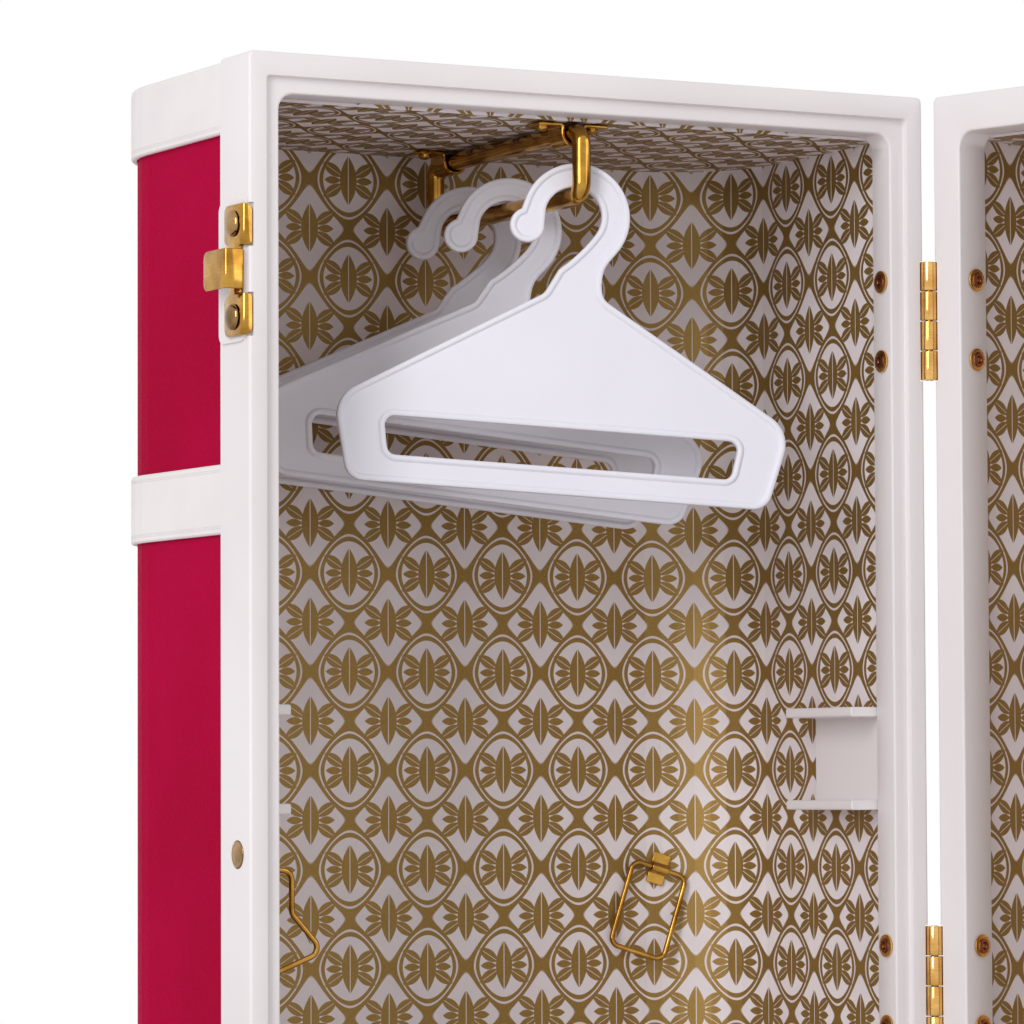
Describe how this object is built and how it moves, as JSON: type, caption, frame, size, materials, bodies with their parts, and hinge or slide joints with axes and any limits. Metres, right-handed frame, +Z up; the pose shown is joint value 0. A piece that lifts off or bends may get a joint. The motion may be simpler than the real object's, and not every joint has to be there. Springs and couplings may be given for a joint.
{
  "type": "doll wardrobe trunk",
  "caption": "Upright doll wardrobe trunk, open on its side hinges, with red panels, cream bands and frames, patterned lining, brass rail with hangers and latches",
  "frame": {"origin": "middle of the underside of the left half's frame, on the floor", "axes": "+X along the left half's width towards the hinges, +Y from its open front to its back, +Z up"},
  "size_m": [0.4215, 0.3609, 0.566],
  "materials": {
    "panel": "fibreboard wrapped in smooth red covering",
    "lining": "printed lining paper, gold on off-white",
    "cream_plastic": "moulded cream plastic, satin",
    "binding": "cream leatherette binding, stitched",
    "white_plastic": "moulded white plastic, satin",
    "brass": "polished brass plating",
    "grip": "cream leatherette grip"
  },
  "bodies": {
    "left_case": {"shell_left": "panel", "lining_left": "lining", "frame_left": "cream_plastic", "band_left_top": "binding", "band_left_upper": "binding", "band_left_lower": "binding", "band_left_bottom": "binding", "glide_left_l": "white_plastic", "glide_left_r": "white_plastic", "hinge_1_leaf_left": "brass", "hinge_2_leaf_left": "brass", "hinge_3_leaf_left": "brass", "hinge_1_pin": "brass", "hinge_2_pin": "brass", "hinge_3_pin": "brass", "keeper_upper": "brass", "keeper_lower": "brass", "keeper_upper_rivet_a": "brass", "keeper_upper_rivet_b": "brass", "keeper_lower_rivet_a": "brass", "keeper_lower_rivet_b": "brass", "side_rivet": "brass", "rail_saddle_front": "brass", "rail_saddle_back": "brass", "saddle_front_screw_a": "brass", "saddle_front_screw_b": "brass", "saddle_back_screw_a": "brass", "saddle_back_screw_b": "brass", "guide_left": "cream_plastic", "guide_right": "cream_plastic", "side_wire_clip": "brass", "back_loop_clip": "brass"},
    "right_case": {"shell_right": "panel", "lining_right": "lining", "frame_right": "cream_plastic", "band_right_top": "binding", "band_right_upper": "binding", "band_right_lower": "binding", "band_right_bottom": "binding", "glide_right_l": "white_plastic", "glide_right_r": "white_plastic", "hinge_1_leaf_right": "brass", "hinge_2_leaf_right": "brass", "hinge_3_leaf_right": "brass", "latch_upper_base": "brass", "latch_lower_base": "brass", "handle_mount_upper": "brass", "handle_mount_lower": "brass"},
    "rail": {"clothes_rail": "brass"},
    "hanger_1": {"hanger_1": "white_plastic"},
    "hanger_2": {"hanger_2": "white_plastic"},
    "hanger_3": {"hanger_3": "white_plastic"},
    "side_wire": {"side_wire": "brass"},
    "back_loop": {"back_loop": "brass"},
    "latch_upper_lever": {"latch_upper_lever": "brass"},
    "latch_upper_bail": {"latch_upper_bail": "brass"},
    "latch_lower_lever": {"latch_lower_lever": "brass"},
    "latch_lower_bail": {"latch_lower_bail": "brass"},
    "carry_handle": {"carry_handle": "grip"}
  },
  "joints": [
    {"name": "case_hinge", "type": "hinge", "parent": "left_case", "child": "right_case", "pos_m": [0.12065, -0.0105, 0.283], "axis": [0, 0, 1], "range_deg": [-106.3, 73.7]},
    {"name": "rail_swing", "type": "hinge", "parent": "left_case", "child": "rail", "pos_m": [0, 0.0498, 0.5495], "axis": [0, 1, 0], "range_deg": [-15, 15]},
    {"name": "hanger_1_slide", "type": "slide", "parent": "rail", "child": "hanger_1", "axis": [0, 1, 0], "range_m": [0, 0.015]},
    {"name": "hanger_2_slide", "type": "slide", "parent": "rail", "child": "hanger_2", "axis": [0, 1, 0], "range_m": [-0.014, 0.008]},
    {"name": "hanger_3_slide", "type": "slide", "parent": "rail", "child": "hanger_3", "axis": [0, 1, 0], "range_m": [-0.008, 0.0015]},
    {"name": "side_wire_swing", "type": "hinge", "parent": "left_case", "child": "side_wire", "pos_m": [-0.11005, 0.0098, 0.305], "axis": [0, 0, 1], "range_deg": [-45, 80]},
    {"name": "back_loop_swing", "type": "hinge", "parent": "left_case", "child": "back_loop", "pos_m": [0.08501, 0.10175, 0.319], "axis": [0.9171, -0.252, -0.309], "range_deg": [-75, 0]},
    {"name": "latch_upper_lever_turn", "type": "hinge", "parent": "right_case", "child": "latch_upper_lever", "pos_m": [0.19441, -0.24315, 0.5005], "axis": [0, 0, 1], "range_deg": [-60, 0]},
    {"name": "latch_upper_bail_turn", "type": "hinge", "parent": "latch_upper_lever", "child": "latch_upper_bail", "pos_m": [0.20115, -0.2441, 0.5005], "axis": [0, 0, 1], "range_deg": [-120, 0]},
    {"name": "latch_lower_lever_turn", "type": "hinge", "parent": "right_case", "child": "latch_lower_lever", "pos_m": [0.19441, -0.24315, 0.0655], "axis": [0, 0, 1], "range_deg": [-60, 0]},
    {"name": "latch_lower_bail_turn", "type": "hinge", "parent": "latch_lower_lever", "child": "latch_lower_bail", "pos_m": [0.20115, -0.2441, 0.0655], "axis": [0, 0, 1], "range_deg": [-120, 0]},
    {"name": "handle_fold", "type": "hinge", "parent": "right_case", "child": "carry_handle", "pos_m": [0.20127, -0.24344, 0.283], "axis": [0, 0, 1], "range_deg": [-150, 0]}
  ]
}
